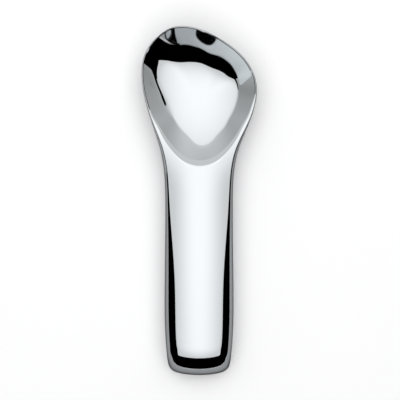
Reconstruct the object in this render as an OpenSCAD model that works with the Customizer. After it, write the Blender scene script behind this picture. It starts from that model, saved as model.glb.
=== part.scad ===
// One-piece cast metal spatula for ice cream, lying on its back.
// X runs across the grip, Y from the grip's end to the tip of the head, Z up, out of the dish.
// Until the last step Y is counted from the neck, where the grip meets the head.

/* [Grip] */
// Length of the grip, from its end to the neck
grip_l = 100; // [80:1:130]
// Width of the grip at its widest
grip_w = 34.6; // [28:0.2:42]
// Narrowing of the grip at its waist, on each side
waist_in = 0.4; // [0:0.1:2]
// Size of the rounded corners of the grip's end, seen from the front
end_corner = 8; // [5:0.5:11]
// Outward bow of the grip's end between its corners
end_bow = 0.7; // [0.3:0.1:2]
// Thickness of the grip, from its back to the crown of its front face
grip_t = 19; // [16:0.5:24]
// Thickness of the neck, from the resting plane to the front face
neck_t = 18; // [15:0.5:22]

/* [Front face] */
// Width of the front face at the grip, inside its rounded edges
face_w = 22; // [16:0.2:26]
// Rounding between the front face and the side at the neck, seen from the front
neck_edge = 1.8; // [1:0.1:4]
// Length of the rounded nose between the front face and the grip's end
nose_l = 14.5; // [8:0.5:18]
// Height of the rounded nose
nose_h = 12.5; // [8:0.5:14]
// Radius of the front face's crown across the grip
crown_r = 50; // [40:1:90]
// Height of the rounded edge beside the front face at the grip
edge_h = 5.2; // [4:0.2:8]
// Height of the rounded edge at the neck
neck_edge_h = 3.2; // [2.5:0.1:6]

/* [Back] */
// Height of the hollow along the flat strip, between its two ends
back_hollow = 0.3; // [0.2:0.1:0.6]
// Width of the flat strip along the back, on which the spatula rests
back_flat = 13; // [8:0.5:16]
// Slope of the back beside the flat strip, in degrees
back_slope = 5; // [3:1:10]
// Radius of the back across the grip, beside the flat strip
back_r = 90; // [60:1:140]
// Width of the back's gently curved part, as a share of the full width
back_share = 0.45; // [0.3:0.05:0.6]
// Rise of the head's underside above the resting plane
head_lift = 4; // [2:0.5:6]

/* [Head] */
// Length of the head, from the neck to its tip
head_l = 73.6; // [60:0.2:90]
// Width of the head at its widest
head_w = 57.4; // [48:0.2:70]
// Rise of the rim from the neck to the tip
tip_rise = 10.3; // [6:0.1:14]
// Place where the rim starts to rise, as a share of the head's length
ridge_from = 0.39; // [0.3:0.01:0.6]
// Share of the rise that the rim loses on the left, and on the right, of the tip
left_fall = 1; // [0:0.05:1]
right_fall = 0.31; // [0:0.01:1]
// Thickness of the rounded lip around the head
lip_h = 1.2; // [0.6:0.1:2]
// Width of the lip's rounding round the tip, seen from the front
lip_in = 0.5; // [0.3:0.1:1.5]
// Width of the lip's rounding on the flanks beside the neck
flank_in = 1.1; // [0.5:0.1:2]
// Least width of the flat rim between the dish and the lip's rounding
rim_w = 0.1; // [0.05:0.05:1]

/* [Dish] */
// Distance of the dish's centre from the neck
dish_y = 37.5; // [34:0.5:42]
// Height of the dish's floor at its centre, above the resting plane
floor_z = 8.5; // [7:0.1:12]
// Rise of the floor from its centre to near its edge
floor_bow = 2.2; // [0.5:0.1:2.5]
// Fall of the floor toward the tip, as a slope
floor_tilt = 0.05; // [0:0.01:0.1]
// Slope in degrees at which the floor turns into the wall
edge_slope = 20; // [15:1:25]
// Width of the bevel inside the rim at the neck
bevel_w = 2.8; // [1.5:0.1:4]
// Slope of the bevel in degrees
bevel_slope = 27; // [15:1:35]

/* [Hidden] */

// Mesh lines from the dish's centre over the rim to the back, and rings across them
RIBS = 128;
FLOOR_RINGS = 6;
WALL_RINGS = 10;
BEVEL_RINGS = 2;
FACE_RINGS = 8;
EDGE_RINGS = 8;
SIDE_RINGS = 7;
// Columns of the mesh across the back on each side of the flat strip
BACK_COLS = 3;

half_grip = grip_w / 2;
half_head = head_w / 2;
dish_at = [0, dish_y];
neck_blend = 0.46 * head_l;
// Places across the head, in shares of its half width, where the rim's fall starts and ends
LEFT_FROM = 0.3;
LEFT_TO = 1.05;
RIGHT_TO = 0.56;
// Size of the dish's rounded middle
middle_r = 0.14 * half_head;

// Right side of the grip, from its end to the neck
GRIP_SIDE = [
    [0.52 * half_grip, -grip_l + end_bow],
    [half_grip - 0.34 * end_corner, -grip_l + 0.4 * end_corner],
    [half_grip - 0.15 * end_corner, -grip_l + 1.25 * end_corner],
    [half_grip - 0.6 * waist_in, -0.77 * grip_l],
    [half_grip, -0.58 * grip_l],
    [half_grip - 0.7 * waist_in, -0.35 * grip_l],
    [half_grip - waist_in, -0.13 * grip_l],
    [half_grip, 0]
];

// Outline of the head, anticlockwise, in shares of its half width and its length
HEAD_OUTLINE = [
    [0.67, 0.163], [0.815, 0.312], [0.955, 0.462], [1.003, 0.611], [0.892, 0.74],
    [0.645, 0.852], [0.279, 0.943], [-0.129, 1], [-0.505, 0.993], [-0.801, 0.917],
    [-0.969, 0.807], [-0.997, 0.666], [-0.927, 0.503], [-0.787, 0.326], [-0.662, 0.163]
];

// The dish at each half hour of a clock face round its centre, anticlockwise from three o'clock:
// reach of the rim's crease, reach of the floor's edge, softness of the turn into the wall.
// The lengths are those of a head as wide as DRAWN_W, and follow the head's width.
DRAWN_W = 57.4;
DISH = [
    [27.2, 18.6, 0.3], [31, 20.2, 0.3], [36, 20.7, 1.2], [38, 18.1, 4.6],
    [40, 16.8, 5.6], [40, 16.7, 6.8], [40, 17.6, 8.3], [40, 19.1, 7.9],
    [42, 22.4, 5.6], [42, 26.4, 3], [38, 24.2, 1.8], [31, 19.3, 1.5],
    [26.6, 16.5, 1.3], [25, 15.3, 0.9], [24.2, 14.9, 0.3], [25.4, 15.4, 0.3],
    [27.7, 16.5, 0.4], [30.6, 18.6, 0.5], [32, 21.9, 0.6], [31, 21.2, 0.5],
    [28.5, 18.6, 0.4], [26.4, 17.7, 0.3], [25.2, 17, 0.3], [25.8, 17.5, 0.3]
];

function mix(a, b, t) = a + (b - a) * t;
function clamp01(t) = min(max(t, 0), 1);
function ease(t) = t * t * t * (t * (6 * t - 15) + 10);
function smooth(lo, hi, v) = ease(clamp01((v - lo) / (hi - lo)));
function soft_max(a, b, w) = (a + b + sqrt(pow(a - b, 2) + w * w)) / 2;
function soft_min(a, b, w) = a + b - soft_max(a, b, w);
function squeeze(t, p) = 1 - pow(max(1 - pow(t, p), 0), 1 / p);

// A closed smooth curve through the points q: relax() finds its control points, along() follows it
function relax(q, p, n) = n == 0 ? p : relax(q, [
    for (i = [0:len(q) - 1])
        p[i] + q[i] - (p[(i + len(q) - 1) % len(q)] + 4 * p[i] + p[(i + 1) % len(q)]) / 6
], n - 1);
function controls(q) = relax(q, q, 24);
function along(p, s) = let (n = len(p), i = floor(s), t = s - i)
    (pow(1 - t, 3) * p[(i + n - 1) % n]
        + (3 * pow(t, 3) - 6 * t * t + 4) * p[i % n]
        + (3 * t * t - 3 * pow(t, 3) + 3 * t + 1) * p[(i + 1) % n]
        + pow(t, 3) * p[(i + 2) % n]) / 6;

// Outline keys all round: grip's end, right side, head, left side
SIDE = len(GRIP_SIDE);
OUTLINE = concat(
    [[0, -grip_l]],
    GRIP_SIDE,
    [for (h = HEAD_OUTLINE) [h[0] * half_head, h[1] * head_l]],
    [for (i = [SIDE - 1:-1:0]) [-GRIP_SIDE[i][0], GRIP_SIDE[i][1]]]
);
KEYS = len(OUTLINE);
HEAD_KEYS = len(HEAD_OUTLINE);

// Bearing from the dish's centre at which each key's mesh line leaves the dish
FAN = 31;
function bearing(d) = let (a = atan2(d[1], d[0])) a < -90 ? a + 360 : a;
BEARINGS = [
    for (i = [0:KEYS - 1])
        i <= SIDE ? -90 + FAN * i / SIDE
        : i <= SIDE + HEAD_KEYS ? bearing(OUTLINE[i] - dish_at)
        : 270 - FAN * (KEYS - i) / SIDE
];
// The bearings less an even turn, so that they close on themselves
TURN = controls([for (i = [0:KEYS - 1]) BEARINGS[i] - 360 * i / KEYS]);

// Heights over the resting plane
function spine(y) = mix(grip_t, neck_t, smooth(-0.73 * grip_l, 0.03 * head_l, y));
function crown(y) = mix(1, 0.15, smooth(-0.13 * grip_l, 0.37 * head_l, y)) / (2 * crown_r);
function fall(x) = left_fall * smooth(LEFT_FROM, LEFT_TO, -x / half_head)
    + right_fall * smooth(0, RIGHT_TO, x / half_head);
function ridge(p) = tip_rise * smooth(ridge_from * head_l, 1.11 * head_l, p[1]) * (1 - fall(p[0]));
function front(p) = spine(p[1]) + ridge(p) - crown(p[1]) * p[0] * p[0];
function hollow(y) = back_hollow * max(1 - pow((y + 0.31 * grip_l) / (0.4 * grip_l), 2), 0);
function keel(y) = head_lift * smooth(-0.05 * grip_l, 0.67 * head_l, y) + hollow(y);
function sides(x) = let (beyond = max(abs(x) - back_flat / 2, 0))
    beyond * (tan(back_slope) + beyond / (2 * back_r));
function back(p) = keel(p[1]) + (1 - smooth(-0.23 * grip_l, 0.5 * head_l, p[1])) * sides(p[0]);

// Edge of the front face, inside the outline point o
function toward_neck(y) = smooth(-0.73 * grip_l, 0.08 * head_l, y);
function face_share(y) = mix(face_w / grip_w, 1 - neck_edge / half_grip, toward_neck(y));
function toward_dish(o) = (dish_at - o) / norm(dish_at - o);
function face_edge(o) = let (
    grip = [o[0] * face_share(o[1]), soft_max(o[1], -grip_l + 0.93 * nose_l, 0.6 * nose_l)],
    lip = mix(flank_in, lip_in, smooth(0.07 * head_l, 0.55 * head_l, o[1])),
    head = o + lip * toward_dish(o))
    mix(grip, head, smooth(0, neck_blend, o[1]));
function edge_drop(o) = mix(
    mix(nose_h, mix(edge_h, neck_edge_h, toward_neck(o[1])), smooth(-grip_l, -grip_l + nose_l, o[1])),
    lip_h, smooth(0, neck_blend, o[1]));

// Edge of the gently curved back, inside the outline point o
function back_edge(o) = let (
    grip = [o[0] * back_share, soft_max(o[1], -grip_l + 0.93 * nose_l, 0.84 * nose_l)],
    head = mix(dish_at, o, 0.25))
    mix(grip, head, smooth(-0.1 * grip_l, 0.34 * head_l, o[1]));

// Dish wall of slope 1: flat near the centre, straight beyond its foot
function hinge(r, foot, soft) = (
    r - foot + sqrt(pow(r - foot, 2) + soft * soft) + foot - sqrt(foot * foot + soft * soft)
) / 2 * r * r / (r * r + middle_r * middle_r);
function bow(r) = floor_bow * pow(r / (0.7 * half_head), 2);
function bevel(a) = bevel_w * mix(0.125, 1, pow((1 - sin(a)) / 2, 5));

// The wall's foot and slope, in step with each other: the floor ends at the reach `edge`,
// and the wall climbs by `climb` up to the reach `inner`. The floor dips by `dip` along the line.
function wall_foot(slope, dip, edge, soft) = let (
    u = 2 * (tan(edge_slope) + dip - 2 * bow(edge) / edge) / slope - 1,
    share = min(max(u, -0.95), 0.95)
) edge - soft * share / sqrt(1 - share * share);
function wall_slope(climb, dip, inner, foot, soft) =
    (climb + dip * inner - bow(inner)) / hinge(inner, foot, soft);
function settled_foot(climb, dip, inner, edge, soft, slope, n) = let (
    foot = wall_foot(slope, dip, edge, soft)
) n == 0 ? foot : settled_foot(climb, dip, inner, edge, soft,
    mix(slope, wall_slope(climb, dip, inner, foot, soft), 0.7), n - 1);

outline_curve = controls(OUTLINE);
dish_curve = controls(DISH * head_w / DRAWN_W);

// One mesh line: its points from the dish's centre outward, and round the edge to the back
function rib(s) = let (
    o = along(outline_curve, s),
    a = along(TURN, s) + 360 * s / KEYS,
    hour = (a + 360) * len(DISH) / 360,
    d = along(dish_curve, hour - len(DISH) * floor(hour / len(DISH))),
    ray = [cos(a), sin(a)],
    rim = soft_min(d[0], norm(o - dish_at) - lip_in - rim_w, 0.014 * half_head),
    crease = dish_at + rim * ray,
    crease_z = front(crease),
    inner = rim - bevel(a),
    wall_z = crease_z - bevel(a) * tan(bevel_slope),
    dip = floor_tilt * sin(a),
    climb = wall_z - floor_z,
    foot = settled_foot(climb, dip, inner, d[1], d[2], 1, 8),
    slope = wall_slope(climb, dip, inner, foot, d[2]),
    turn_at = min(foot, 0.9 * inner),
    floor_reach = [for (i = [1:FLOOR_RINGS]) turn_at * (1 - pow(1 - i / FLOOR_RINGS, 1.4))],
    wall_reach = [for (i = [1:WALL_RINGS]) mix(turn_at, inner, pow(i / WALL_RINGS, 1.2))],
    e = face_edge(o),
    drop = edge_drop(o),
    handle = 1 - smooth(0, neck_blend, o[1]),
    bend = [mix((crease[0] + e[0]) / 2, mix(crease[0], e[0], 0.3), handle),
        mix(crease[1], e[1], mix(0.5, 0.95, handle))],
    side_z = front(o) - drop,
    b = back_edge(o)
) concat(
    [for (r = concat(floor_reach, wall_reach)) let (p = dish_at + r * ray)
        [p[0], p[1], floor_z - dip * r + bow(r) + slope * hinge(r, foot, d[2])]],
    [for (i = [1:BEVEL_RINGS]) let (t = i / BEVEL_RINGS, p = dish_at + mix(inner, rim, t) * ray)
        [p[0], p[1], mix(wall_z, crease_z, t)]],
    [for (i = [1:FACE_RINGS]) let (t = i / FACE_RINGS,
        p = crease * pow(1 - t, 2) + bend * 2 * t * (1 - t) + e * t * t)
        [p[0], p[1], front(p)]],
    [for (i = [1:EDGE_RINGS]) let (t = sin(90 * i / EDGE_RINGS), p = mix(e, o, t))
        [p[0], p[1], front(p) - drop * squeeze(t, 2)]],
    [for (i = [1:SIDE_RINGS]) let (t = cos(90 * i / SIDE_RINGS), p = mix(b, o, t))
        [p[0], p[1], back(p) + (side_z - back(o)) * squeeze(t, 2.2)]]
);

// The points of one row across the back, between the ends of two facing mesh lines
function back_row(from, to) = let (
    edge = (1 - min(back_flat / norm(to - from), 0.6)) / 2,
    near = [for (k = [1:BACK_COLS]) edge * k / BACK_COLS],
    far = [for (k = [BACK_COLS:-1:1]) 1 - edge * k / BACK_COLS]
) [for (t = concat(near, far)) let (p = mix(from, to, t)) [p[0], p[1], back(p)]];

// A closed skin: mesh lines that fan out from one point on top, joined by rows across the back
module skin(lines, top) {
    n = len(lines);
    m = len(lines[0]);
    half = n / 2;
    cols = 2 * BACK_COLS + 1;
    foot = [for (l = lines) l[m - 1]];
    rows = [for (i = [1:half - 1]) each back_row(foot[i], foot[n - i])];
    points = concat([top], [for (l = lines) each l], rows);
    function on_line(i, j) = 1 + (i % n) * m + j;
    function on_row(i, k) =
        i == 0 || i == half || k == 0 ? on_line(i, m - 1)
        : k == cols ? on_line(n - i, m - 1)
        : 1 + n * m + (i - 1) * (cols - 1) + k - 1;
    faces = concat(
        [for (i = [0:n - 1]) [0, on_line(i + 1, 0), on_line(i, 0)]],
        [for (i = [0:n - 1], j = [0:m - 2]) let (
            a = on_line(i, j), b = on_line(i + 1, j), c = on_line(i + 1, j + 1), d = on_line(i, j + 1))
            each [[a, b, c], [a, c, d]]],
        [for (k = [0:cols - 1]) [on_row(0, 0), on_row(1, k), on_row(1, k + 1)]],
        [for (i = [1:half - 2], k = [0:cols - 1]) let (
            a = on_row(i, k), b = on_row(i + 1, k), c = on_row(i + 1, k + 1), d = on_row(i, k + 1))
            each [[a, b, c], [a, c, d]]],
        [for (k = [0:cols - 1]) [on_row(half - 1, k), on_row(half, 0), on_row(half - 1, k + 1)]]
    );
    polyhedron(points, faces);
}

lines = [for (i = [0:RIBS - 1]) rib(KEYS * i / RIBS)];
xs = [for (l = lines) each [for (p = l) p[0]]];
ys = [for (l = lines) each [for (p = l) p[1]]];
middle = [(min(xs) + max(xs)) / 2, (min(ys) + max(ys)) / 2];

module spatula() color("silver") {
    translate([-middle[0], -middle[1], 0])
        skin(lines, [dish_at[0], dish_at[1], floor_z]);
}

spatula();
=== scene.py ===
"""Studio picture of a one-piece polished metal ice cream spatula, seen from straight above.

The CAD solid is a faceted body. This script draws the same curves again as one dense, smooth
skin, because a polished surface shows every facet. Lengths are in millimetres until the mesh
is made, with Y counted from the neck as in the CAD source.
"""

import math

import bpy
import numpy as np
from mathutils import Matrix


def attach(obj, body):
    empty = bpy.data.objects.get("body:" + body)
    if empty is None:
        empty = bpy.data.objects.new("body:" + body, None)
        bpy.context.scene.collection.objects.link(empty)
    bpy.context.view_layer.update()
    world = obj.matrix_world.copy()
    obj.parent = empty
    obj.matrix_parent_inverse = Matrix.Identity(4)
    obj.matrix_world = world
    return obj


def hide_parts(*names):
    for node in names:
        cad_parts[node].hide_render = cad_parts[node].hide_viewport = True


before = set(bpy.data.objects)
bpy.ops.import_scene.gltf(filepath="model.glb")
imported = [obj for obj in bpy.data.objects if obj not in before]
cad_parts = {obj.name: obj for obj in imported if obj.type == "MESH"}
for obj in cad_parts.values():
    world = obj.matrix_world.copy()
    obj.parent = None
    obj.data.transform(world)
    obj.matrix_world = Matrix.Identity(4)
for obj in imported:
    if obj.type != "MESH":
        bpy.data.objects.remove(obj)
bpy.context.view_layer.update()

MM = 0.001

# Grip
GRIP_L = 100.0
GRIP_W = 34.6
WAIST_IN = 0.4
END_CORNER = 8.0
END_BOW = 0.7
GRIP_T = 19.0
NECK_T = 18.0

# Front face
FACE_W = 22.0
NECK_EDGE = 1.8
NOSE_L = 14.5
NOSE_H = 12.5
CROWN_R = 50.0
HEAD_CROWN = 0.15
EDGE_H = 5.2
NECK_EDGE_H = 3.2

# Back
BACK_HOLLOW = 0.3
BACK_FLAT = 13.0
BACK_SLOPE = math.radians(5)
BACK_R = 90.0
BACK_SHARE = 0.45
HEAD_LIFT = 4.0

# Head
HEAD_L = 73.6
HEAD_W = 57.4
RIDGE_FROM = 0.39
TIP_RISE = 10.3
LEFT_FALL = 1.0
LEFT_FROM = 0.3
LEFT_TO = 1.05
RIGHT_FALL = 0.31
RIGHT_TO = 0.56
LIP_H = 1.2
LIP_IN = 0.5
FLANK_IN = 1.1
RIM_W = 0.1

# Dish
DISH_Y = 37.5
FLOOR_Z = 8.5
FLOOR_BOW = 2.2
FLOOR_TILT = 0.05
BEVEL_W = 2.8
BEVEL_TIP_SHARE = 0.125
BEVEL_SLOPE = math.radians(27)
EDGE_SLOPE = math.radians(20)

HALF_GRIP = GRIP_W / 2
HALF_HEAD = HEAD_W / 2
DISH_AT = np.array([0.0, DISH_Y])
NECK_BLEND = 0.46 * HEAD_L
FAN = 31.0
MIDDLE_R = 0.14 * HALF_HEAD
FACE_END = -GRIP_L + 0.93 * NOSE_L

# Right side of the grip, from its end to the neck
GRIP_SIDE = [
    (0.52 * HALF_GRIP, -GRIP_L + END_BOW),
    (HALF_GRIP - 0.34 * END_CORNER, -GRIP_L + 0.4 * END_CORNER),
    (HALF_GRIP - 0.15 * END_CORNER, -GRIP_L + 1.25 * END_CORNER),
    (HALF_GRIP - 0.6 * WAIST_IN, -0.77 * GRIP_L),
    (HALF_GRIP, -0.58 * GRIP_L),
    (HALF_GRIP - 0.7 * WAIST_IN, -0.35 * GRIP_L),
    (HALF_GRIP - WAIST_IN, -0.13 * GRIP_L),
    (HALF_GRIP, 0.0),
]

# Outline of the head, anticlockwise, in shares of its half width and its length
HEAD_OUTLINE = [
    (0.67, 0.163), (0.815, 0.312), (0.955, 0.462), (1.003, 0.611), (0.892, 0.74),
    (0.645, 0.852), (0.279, 0.943), (-0.129, 1.0), (-0.505, 0.993), (-0.801, 0.917),
    (-0.969, 0.807), (-0.997, 0.666), (-0.927, 0.503), (-0.787, 0.326), (-0.662, 0.163),
]

# The dish at each half hour of a clock face round its centre, anticlockwise from three o'clock:
# reach of the rim's crease, reach of the floor's edge, softness of the turn into the wall
DISH = [
    (27.2, 18.6, 0.3), (31.0, 20.2, 0.3), (36.0, 20.7, 1.2), (38.0, 18.1, 4.6),
    (40.0, 16.8, 5.6), (40.0, 16.7, 6.8), (40.0, 17.6, 8.3), (40.0, 19.1, 7.9),
    (42.0, 22.4, 5.6), (42.0, 26.4, 3.0), (38.0, 24.2, 1.8), (31.0, 19.3, 1.5),
    (26.6, 16.5, 1.3), (25.0, 15.3, 0.9), (24.2, 14.9, 0.3), (25.4, 15.4, 0.3),
    (27.7, 16.5, 0.4), (30.6, 18.6, 0.5), (32.0, 21.9, 0.6), (31.0, 21.2, 0.5),
    (28.5, 18.6, 0.4), (26.4, 17.7, 0.3), (25.2, 17.0, 0.3), (25.8, 17.5, 0.3),
]
HOUR = 360 / len(DISH)


# Curves

SPLINE_ROUNDS = 40


def mix(a, b, t):
    return a + (b - a) * t


def smooth(low, high, v):
    t = np.clip((v - low) / (high - low), 0, 1)
    return t ** 3 * (t * (6 * t - 15) + 10)


def soft_max(a, b, w):
    return (a + b + np.sqrt((a - b) ** 2 + w * w)) / 2


def soft_min(a, b, w):
    return (a + b - np.sqrt((a - b) ** 2 + w * w)) / 2


def squeeze(t, p):
    return 1 - max(1 - t ** p, 0) ** (1 / p)


def controls(points):
    """Control points of the closed cubic B-spline that passes through the points."""
    q = np.array(points, float)
    p = q.copy()
    for _ in range(SPLINE_ROUNDS):
        p += q - (np.roll(p, 1, 0) + 4 * p + np.roll(p, -1, 0)) / 6
    return p


def along(p, s):
    """Points of the closed B-spline at each value in s, counted in keys."""
    i = np.floor(s).astype(int)
    t = (s - i).reshape((-1,) + (1,) * (p.ndim - 1))
    n = len(p)
    return ((1 - t) ** 3 * p[(i - 1) % n] + (3 * t ** 3 - 6 * t ** 2 + 4) * p[i % n]
            + (3 * t ** 2 - 3 * t ** 3 + 3 * t + 1) * p[(i + 1) % n] + t ** 3 * p[(i + 2) % n]) / 6


SIDE = len(GRIP_SIDE)
OUTLINE = ([(0.0, -GRIP_L)] + GRIP_SIDE + [(x * HALF_HEAD, y * HEAD_L) for x, y in HEAD_OUTLINE]
           + [(-x, y) for x, y in reversed(GRIP_SIDE)])
KEYS = len(OUTLINE)


def bearing(i):
    """Angle from the dish's centre at which key i's mesh line leaves the dish."""
    if i <= SIDE:
        return -90 + FAN * i / SIDE
    if i > SIDE + len(HEAD_OUTLINE):
        return 270 - FAN * (KEYS - i) / SIDE
    x, y = np.array(OUTLINE[i]) - DISH_AT
    angle = math.degrees(math.atan2(y, x))
    return angle + 360 if angle < -90 else angle


# Heights over the resting plane

def toward_neck(y):
    """0 over the grip's near end, 1 from the neck on."""
    return smooth(-0.73 * GRIP_L, 0.08 * HEAD_L, y)


def front(p):
    x, y = p.T
    crown = mix(1, HEAD_CROWN, smooth(-0.13 * GRIP_L, 0.37 * HEAD_L, y)) / (2 * CROWN_R)
    aside = x / HALF_HEAD
    fall = LEFT_FALL * smooth(LEFT_FROM, LEFT_TO, -aside) + RIGHT_FALL * smooth(0, RIGHT_TO, aside)
    rise = TIP_RISE * smooth(RIDGE_FROM * HEAD_L, 1.11 * HEAD_L, y) * (1 - fall)
    return mix(GRIP_T, NECK_T, smooth(-0.73 * GRIP_L, 0.03 * HEAD_L, y)) + rise - crown * x ** 2


def back(p):
    y = p[:, 1]
    hollow = BACK_HOLLOW * np.maximum(1 - ((y + 0.31 * GRIP_L) / (0.4 * GRIP_L)) ** 2, 0)
    beyond = np.maximum(abs(p[:, 0]) - BACK_FLAT / 2, 0)
    sides = beyond * (math.tan(BACK_SLOPE) + beyond / (2 * BACK_R))
    keel = HEAD_LIFT * smooth(-0.05 * GRIP_L, 0.67 * HEAD_L, y)
    return keel + hollow + (1 - smooth(-0.23 * GRIP_L, 0.5 * HEAD_L, y)) * sides


# Edges of the front face and of the back, inside the outline points o

def face_edge(o):
    x, y = o.T
    share = mix(FACE_W / GRIP_W, 1 - NECK_EDGE / HALF_GRIP, toward_neck(y))
    grip = np.column_stack([x * share, soft_max(y, FACE_END, 0.6 * NOSE_L)])
    inward = DISH_AT - o
    lip = mix(FLANK_IN, LIP_IN, smooth(0.07 * HEAD_L, 0.55 * HEAD_L, y))
    head = o + (lip / np.linalg.norm(inward, axis=1))[:, None] * inward
    return mix(grip, head, smooth(0, NECK_BLEND, y)[:, None])


def edge_drop(o):
    y = o[:, 1]
    grip = mix(EDGE_H, NECK_EDGE_H, toward_neck(y))
    end = mix(NOSE_H, grip, smooth(-GRIP_L, -GRIP_L + NOSE_L, y))
    return mix(end, LIP_H, smooth(0, NECK_BLEND, y))


def back_edge(o):
    x, y = o.T
    grip = np.column_stack([x * BACK_SHARE, soft_max(y, FACE_END, 0.84 * NOSE_L)])
    return mix(grip, mix(DISH_AT, o, 0.25), smooth(-0.1 * GRIP_L, 0.34 * HEAD_L, y)[:, None])


# Dish

WALL_ROUNDS = 8
WALL_GAIN = 0.7
FOOT_LIMIT = 0.95


def hinge(r, foot, w):
    """Wall profile: flat near the centre, straight beyond its foot."""
    rise = r - foot + np.sqrt((r - foot) ** 2 + w * w) + foot - np.sqrt(foot ** 2 + w * w)
    return rise / 2 * r * r / (r * r + MIDDLE_R ** 2)


def bow(r):
    return FLOOR_BOW * (r / (0.7 * HALF_HEAD)) ** 2


def wall_shape(inner, climb, dip, edge, soft):
    """Steepness and foot of the wall, for a floor that ends where it tilts by EDGE_SLOPE."""
    def foot_for(steep):
        share = 2 * (math.tan(EDGE_SLOPE) + dip - 2 * bow(edge) / edge) / steep - 1
        share = np.clip(share, -FOOT_LIMIT, FOOT_LIMIT)
        return edge - soft * share / np.sqrt(1 - share ** 2)

    def steep_for(foot):
        return (climb + dip * inner - bow(inner)) / hinge(inner, foot, soft)

    steep = np.ones_like(inner)
    for _ in range(WALL_ROUNDS):
        steep = mix(steep, steep_for(foot_for(steep)), WALL_GAIN)
    foot = foot_for(steep)
    return steep_for(foot), foot


# Mesh

RIBS = 384
BACK_COLS = 24
FLOOR_STEPS = list(1 - np.linspace(1, 0, 37)[1:] ** 1.4)
WALL_STEPS = list(np.linspace(0, 1, 27)[1:-1] ** 1.4) + [0.98, 0.995, 1.0]
BEVEL_STEPS = [0.03, 0.5, 0.97, 1.0]
FACE_STEPS = [0.01] + list(np.linspace(0, 1, 25)[1:])
EDGE_STEPS = list(np.sin(np.linspace(0, math.pi / 2, 21)[1:]))
SIDE_STEPS = list(np.cos(np.linspace(0, math.pi / 2, 25)[1:]))
EDGE_POWER = 2.0
SIDE_POWER = 2.2


def rings():
    """Closed rings of points, from the dish's centre outward, over the rim and round to the back."""
    s = np.arange(RIBS) * KEYS / RIBS
    turn = 360 * s / KEYS
    o = along(controls(OUTLINE), s)
    a = along(controls([bearing(i) - 360 * i / KEYS for i in range(KEYS)]), s) + turn
    reach, edge, soft = along(controls(DISH), (a / HOUR) % len(DISH)).T
    reach = soft_min(reach, np.linalg.norm(o - DISH_AT, axis=1) - LIP_IN - RIM_W, 0.014 * HALF_HEAD)
    angle = np.radians(a)
    ray = np.column_stack([np.cos(angle), np.sin(angle)])
    crease = DISH_AT + reach[:, None] * ray
    crease_z = front(crease)
    bevel = BEVEL_W * mix(BEVEL_TIP_SHARE, 1, ((1 - np.sin(angle)) / 2) ** 5)
    inner = reach - bevel
    wall_z = crease_z - bevel * math.tan(BEVEL_SLOPE)
    dip = FLOOR_TILT * np.sin(angle)
    wall, foot = wall_shape(inner, wall_z - FLOOR_Z, dip, edge, soft)
    e = face_edge(o)
    drop = edge_drop(o)
    handle = 1 - smooth(0, NECK_BLEND, o[:, 1])
    bend = np.column_stack([
        mix((crease[:, 0] + e[:, 0]) / 2, mix(crease[:, 0], e[:, 0], 0.3), handle),
        mix(crease[:, 1], e[:, 1], mix(0.5, 0.95, handle)),
    ])
    side_z = front(o) - drop
    b = back_edge(o)
    out = []
    turn_at = np.minimum(foot, 0.9 * inner)
    for r in [turn_at * t for t in FLOOR_STEPS] + [mix(turn_at, inner, t) for t in WALL_STEPS]:
        z = FLOOR_Z - dip * r + bow(r) + wall * hinge(r, foot, soft)
        out.append(np.column_stack([DISH_AT + r[:, None] * ray, z]))
    for t in BEVEL_STEPS:
        r = mix(inner, reach, t)
        out.append(np.column_stack([DISH_AT + r[:, None] * ray, mix(wall_z, crease_z, t)]))
    for t in FACE_STEPS:
        p = crease * (1 - t) ** 2 + bend * 2 * t * (1 - t) + e * t * t
        out.append(np.column_stack([p, front(p)]))
    for t in EDGE_STEPS:
        p = mix(e, o, t)
        out.append(np.column_stack([p, front(p) - drop * squeeze(t, EDGE_POWER)]))
    for t in SIDE_STEPS:
        p = mix(b, o, t)
        out.append(np.column_stack([p, back(p) + (side_z - back(o)) * squeeze(t, SIDE_POWER)]))
    return out


def skin_mesh(name):
    """The whole surface: a fan at the dish's centre, bands between rings, rows across the back."""
    bands = rings()
    n = RIBS
    half = n // 2
    foot = bands[-1]
    rows = []
    for i in range(1, half):
        k = np.arange(1, BACK_COLS)[:, None] / BACK_COLS
        p = mix(foot[i, :2], foot[n - i, :2], k)
        rows.append(np.column_stack([p, back(p)]))
    points = np.vstack([[[*DISH_AT, FLOOR_Z]]] + bands + rows)
    first_row = 1 + len(bands) * n

    def on_ring(j, i):
        return 1 + j * n + i % n

    def on_row(i, k):
        if i in (0, half) or k == 0:
            return on_ring(len(bands) - 1, i)
        if k == BACK_COLS:
            return on_ring(len(bands) - 1, n - i)
        return first_row + (i - 1) * (BACK_COLS - 1) + k - 1

    faces = [(0, on_ring(0, i), on_ring(0, i + 1)) for i in range(n)]
    for j in range(len(bands) - 1):
        faces += [(on_ring(j, i), on_ring(j + 1, i), on_ring(j + 1, i + 1), on_ring(j, i + 1))
                  for i in range(n)]
    for k in range(BACK_COLS):
        faces.append((on_row(0, 0), on_row(1, k + 1), on_row(1, k)))
        faces += [(on_row(i, k), on_row(i, k + 1), on_row(i + 1, k + 1), on_row(i + 1, k))
                  for i in range(1, half - 1)]
        faces.append((on_row(half - 1, k), on_row(half - 1, k + 1), on_row(half, 0)))

    # The CAD source centres the finished form on its own extents
    middle = (points[:, :2].max(0) + points[:, :2].min(0)) / 2
    points[:, :2] -= middle
    mesh = bpy.data.meshes.new(name)
    mesh.from_pydata([tuple(p) for p in points * MM], [], faces)
    mesh.validate()
    mesh.shade_smooth()
    return mesh


# Materials

METAL = (0.62, 0.645, 0.66)
METAL_EDGE = (0.1, 0.1, 0.1)
HAZE_SCALE = 60.0
HAZE_DETAIL = 3.0
HAZE_SPAN = (0.35, 0.65)
ROUGHNESS = (0.03, 0.055)
FLOOR_WHITE = (0.88, 0.88, 0.885)
# Painted shade: the darker floor near the object, as the metal reflects it
PAINTED_FLOOR_SHADE = (0.42, 0.42, 0.425)
BLACK = (0.0, 0.0, 0.0)


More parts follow.
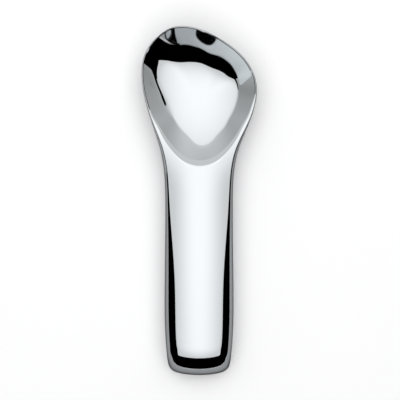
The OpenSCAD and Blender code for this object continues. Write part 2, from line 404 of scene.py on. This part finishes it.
def new_material(name):
    material = bpy.data.materials.new(name)
    material.use_nodes = True
    nodes = material.node_tree.nodes
    return material, nodes, material.node_tree.links, nodes["Principled BSDF"]


def set_range(node, span, values):
    """Ends of a Map Range node that are plain numbers."""
    for key, value in zip(("From Min", "From Max", "To Min", "To Max"), (*span, *values)):
        node.inputs[key].default_value = value


def polished_metal():
    """Cast aluminium, polished to a mirror: a trace of haze that wanders over the surface."""
    material, nodes, links, shader = new_material("polished_metal")
    shader.inputs["Metallic"].default_value = 1.0
    shader.inputs["Base Color"].default_value = (*METAL, 1)
    shader.inputs["Specular Tint"].default_value = (*METAL_EDGE, 1)
    place = nodes.new("ShaderNodeTexCoord")
    haze = nodes.new("ShaderNodeTexNoise")
    haze.inputs["Scale"].default_value = HAZE_SCALE
    haze.inputs["Detail"].default_value = HAZE_DETAIL
    rough = nodes.new("ShaderNodeMapRange")
    set_range(rough, HAZE_SPAN, ROUGHNESS)
    links.new(place.outputs["Object"], haze.inputs["Vector"])
    links.new(haze.outputs["Fac"], rough.inputs["Value"])
    links.new(rough.outputs["Result"], shader.inputs["Roughness"])
    return material


def matte(name, color):
    material, _, _, shader = new_material(name)
    shader.inputs["Base Color"].default_value = (*color, 1)
    shader.inputs["Roughness"].default_value = 1.0
    shader.inputs["Specular IOR Level"].default_value = 0.0
    return material


# Studio

LIGHT_Z = 0.8
LIGHT_X = LIGHT_Z * math.tan(math.radians(38))
LIGHT_NEAR = LIGHT_Z * math.tan(math.radians(43))
LIGHT_FAR = LIGHT_Z * math.tan(math.radians(38))
# The diffuser's bright middle, how its distance counts along Y, where it fades and between which levels
GLOW_AT = (0, 0.045, 0)
GLOW_SQUASH = (1, 0.55, 1)
GLOW_SPAN = (0.05, 0.52)
GLOW_LEVELS = (1.5, 0.93)
FLOOR_HALF = 3.0
ROOM_R = 1.4
# Black cloth: each piece's lowest and highest elevation, then its two azimuths
DARK_PIECES = [(0, 22, 222, 356.5), (22, 46, 177.5, 362.5), (24, 46, 362.5, 388),
               (46, 90, 177.5, 362.5)]
CLOTH_ROWS = 8
CLOTH_COLS = 40
# Black cards beside the grip
FLAG_X = 0.05
FLAG_Y = (-0.12, 0.01)
FLAG_Z = (0.012, 0.037)
# Grey cards round the object's footprint: painted shade of the floor near the object, seen only in the
# metal's reflections
SHADE_CARD_X = 0.017
SHADE_CARD_Y = 0.087
SHADE_CARD_END = 0.3
SHADE_CARD_Z = 0.0004


def stage_mesh(name, vertices, faces, material):
    mesh = bpy.data.meshes.new(name)
    mesh.from_pydata(vertices, [], faces)
    mesh.materials.append(material)
    piece = bpy.data.objects.new(name, mesh)
    bpy.context.collection.objects.link(piece)
    return piece


def floor():
    h = FLOOR_HALF
    return stage_mesh("floor", [(-h, -h, 0), (h, -h, 0), (h, h, 0), (-h, h, 0)], [(0, 1, 2, 3)],
                      matte("floor", FLOOR_WHITE))


def softbox():
    """Large diffuser overhead, a little brighter in its middle."""
    material = bpy.data.materials.new("softbox")
    material.use_nodes = True
    nodes = material.node_tree.nodes
    links = material.node_tree.links
    nodes.clear()
    place = nodes.new("ShaderNodeTexCoord")
    squash = nodes.new("ShaderNodeVectorMath")
    squash.operation = "MULTIPLY"
    squash.inputs[1].default_value = GLOW_SQUASH
    away = nodes.new("ShaderNodeVectorMath")
    away.operation = "DISTANCE"
    away.inputs[1].default_value = GLOW_AT
    level = nodes.new("ShaderNodeMapRange")
    level.interpolation_type = "SMOOTHSTEP"
    set_range(level, GLOW_SPAN, GLOW_LEVELS)
    glow = nodes.new("ShaderNodeEmission")
    out = nodes.new("ShaderNodeOutputMaterial")
    links.new(place.outputs["Object"], squash.inputs[0])
    links.new(squash.outputs["Vector"], away.inputs[0])
    links.new(away.outputs["Value"], level.inputs["Value"])
    links.new(level.outputs["Result"], glow.inputs["Strength"])
    links.new(glow.outputs["Emission"], out.inputs["Surface"])
    corners = [(-LIGHT_X, -LIGHT_NEAR, 0), (LIGHT_X, -LIGHT_NEAR, 0),
               (LIGHT_X, LIGHT_FAR, 0), (-LIGHT_X, LIGHT_FAR, 0)]
    piece = stage_mesh("softbox", corners, [(0, 1, 2, 3)], material)
    piece.location = (0, 0, LIGHT_Z)
    piece.visible_camera = False
    return piece


def dark_side():
    """Black cloth round the near half of the set, open low down on the left."""
    vertices = []
    faces = []
    step = CLOTH_COLS + 1
    for low, high, start, end in DARK_PIECES:
        lifts = np.radians(np.linspace(low, high, CLOTH_ROWS + 1))
        turns = np.radians(np.linspace(start, end, step))
        first = len(vertices)
        vertices += [(ROOM_R * math.cos(lift) * math.cos(turn),
                      ROOM_R * math.cos(lift) * math.sin(turn),
                      ROOM_R * math.sin(lift)) for lift in lifts for turn in turns]
        corners = [first + j * step + i for j in range(CLOTH_ROWS) for i in range(CLOTH_COLS)]
        faces += [(c, c + 1, c + step + 1, c + step) for c in corners]
    piece = stage_mesh("dark_side", vertices, faces, matte("black_cloth", BLACK))
    piece.visible_camera = False
    return piece


def cards():
    """Two black cards beside the grip and four grey ones on the floor, seen only in the metal. The grey
    ones are painted shade: they put a darker floor near the object into its reflections.
    """
    black = matte("black_card", BLACK)
    shade_card = matte("floor_shade_card", PAINTED_FLOOR_SHADE)
    near, far = FLAG_Y
    low, high = FLAG_Z
    sheets = [(name, black, [(x, near, low), (x, far, low), (x, far, high), (x, near, high)])
              for name, x in (("flag_left", -FLAG_X), ("flag_right", FLAG_X))]
    # Grey cards: painted shade of the nearby floor, seen only in reflections
    x, y, end = SHADE_CARD_X, SHADE_CARD_Y, SHADE_CARD_END
    for name, x0, x1, y0, y1 in (
            ("shade_card_left", -end, -x, -end, end), ("shade_card_right", x, end, -end, end),
            ("shade_card_near", -x, x, -end, -y), ("shade_card_far", -x, x, y, end)):
        corners = [(x0, y0, SHADE_CARD_Z), (x1, y0, SHADE_CARD_Z), (x1, y1, SHADE_CARD_Z), (x0, y1, SHADE_CARD_Z)]
        sheets.append((name, shade_card, corners))
    for name, material, corners in sheets:
        piece = stage_mesh(name, corners, [(0, 1, 2, 3)], material)
        piece.visible_camera = False
        piece.visible_diffuse = False
        piece.visible_shadow = False


# The room's levels low down and high up, each at the sides and ahead, and the heights between
ROOM_LOW = (0.40, 0.66)
ROOM_HIGH = (0.75, 0.90)
ROOM_AHEAD = (0.0, 0.9)
ROOM_Z = (0.15, 0.7)


def pale_room():
    """World: a pale room, lighter up high and ahead, darker low down and to the sides."""
    world = bpy.data.worlds.new("pale_room")
    bpy.context.scene.world = world
    world.use_nodes = True
    nodes = world.node_tree.nodes
    links = world.node_tree.links
    background = nodes["Background"]
    place = nodes.new("ShaderNodeTexCoord")
    split = nodes.new("ShaderNodeSeparateXYZ")
    links.new(place.outputs["Generated"], split.inputs["Vector"])

    def math_node(operation, *values):
        node = nodes.new("ShaderNodeMath")
        node.operation = operation
        for socket, value in zip(node.inputs, values):
            if isinstance(value, (int, float)):
                socket.default_value = value
            else:
                links.new(value, socket)
        return node.outputs[0]

    def ramp(value, span, ends):
        node = nodes.new("ShaderNodeMapRange")
        node.interpolation_type = "SMOOTHSTEP"
        links.new(value, node.inputs["Value"])
        for key, v in zip(("From Min", "From Max", "To Min", "To Max"), (*span, *ends)):
            if isinstance(v, (int, float)):
                node.inputs[key].default_value = v
            else:
                links.new(v, node.inputs[key])
        return node.outputs["Result"]

    x, y, z = split.outputs
    squares = math_node("ADD", math_node("MULTIPLY", x, x), math_node("MULTIPLY", y, y))
    ahead = math_node("ABSOLUTE", math_node("DIVIDE", y, math_node("SQRT", squares)))
    low = ramp(ahead, ROOM_AHEAD, ROOM_LOW)
    high = ramp(ahead, ROOM_AHEAD, ROOM_HIGH)
    links.new(ramp(z, ROOM_Z, (low, high)), background.inputs["Strength"])
    background.inputs["Color"].default_value = (1, 1, 1, 1)


LAMP_WATTS = 5.0
LAMP_DROP = 0.01


def key_light():
    """Lamp at the softbox that lights the floor to its own colour and isn't seen in the metal."""
    lamp = bpy.data.lights.new("key", "AREA")
    lamp.shape = "RECTANGLE"
    lamp.size = 2 * LIGHT_X
    lamp.size_y = LIGHT_NEAR + LIGHT_FAR
    lamp.energy = LAMP_WATTS
    piece = bpy.data.objects.new("key", lamp)
    piece.location = (0, 0, LIGHT_Z - LAMP_DROP)
    piece.visible_glossy = False
    bpy.context.collection.objects.link(piece)


# Camera: straight down, over the middle of the picture

CAMERA_X = 0.0004
CAMERA_Y = 0.0015
CAMERA_Z = 0.7
SENSOR_W = 36
PICTURE_W = 0.2
FRONT_Z = 0.015


def camera():
    data = bpy.data.cameras.new("camera")
    data.sensor_width = SENSOR_W
    data.lens = data.sensor_width * (CAMERA_Z - FRONT_Z) / PICTURE_W
    piece = bpy.data.objects.new("camera", data)
    piece.location = (CAMERA_X, CAMERA_Y, CAMERA_Z)
    bpy.context.collection.objects.link(piece)
    bpy.context.scene.camera = piece


def spatula():
    mesh = skin_mesh("spatula_skin")
    mesh.materials.append(polished_metal())
    piece = bpy.data.objects.new("spatula_skin", mesh)
    bpy.context.collection.objects.link(piece)
    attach(piece, "root")
    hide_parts("spatula")


spatula()
floor()
softbox()
dark_side()
cards()
pale_room()
key_light()
camera()
bpy.context.scene.view_settings.view_transform = "Standard"
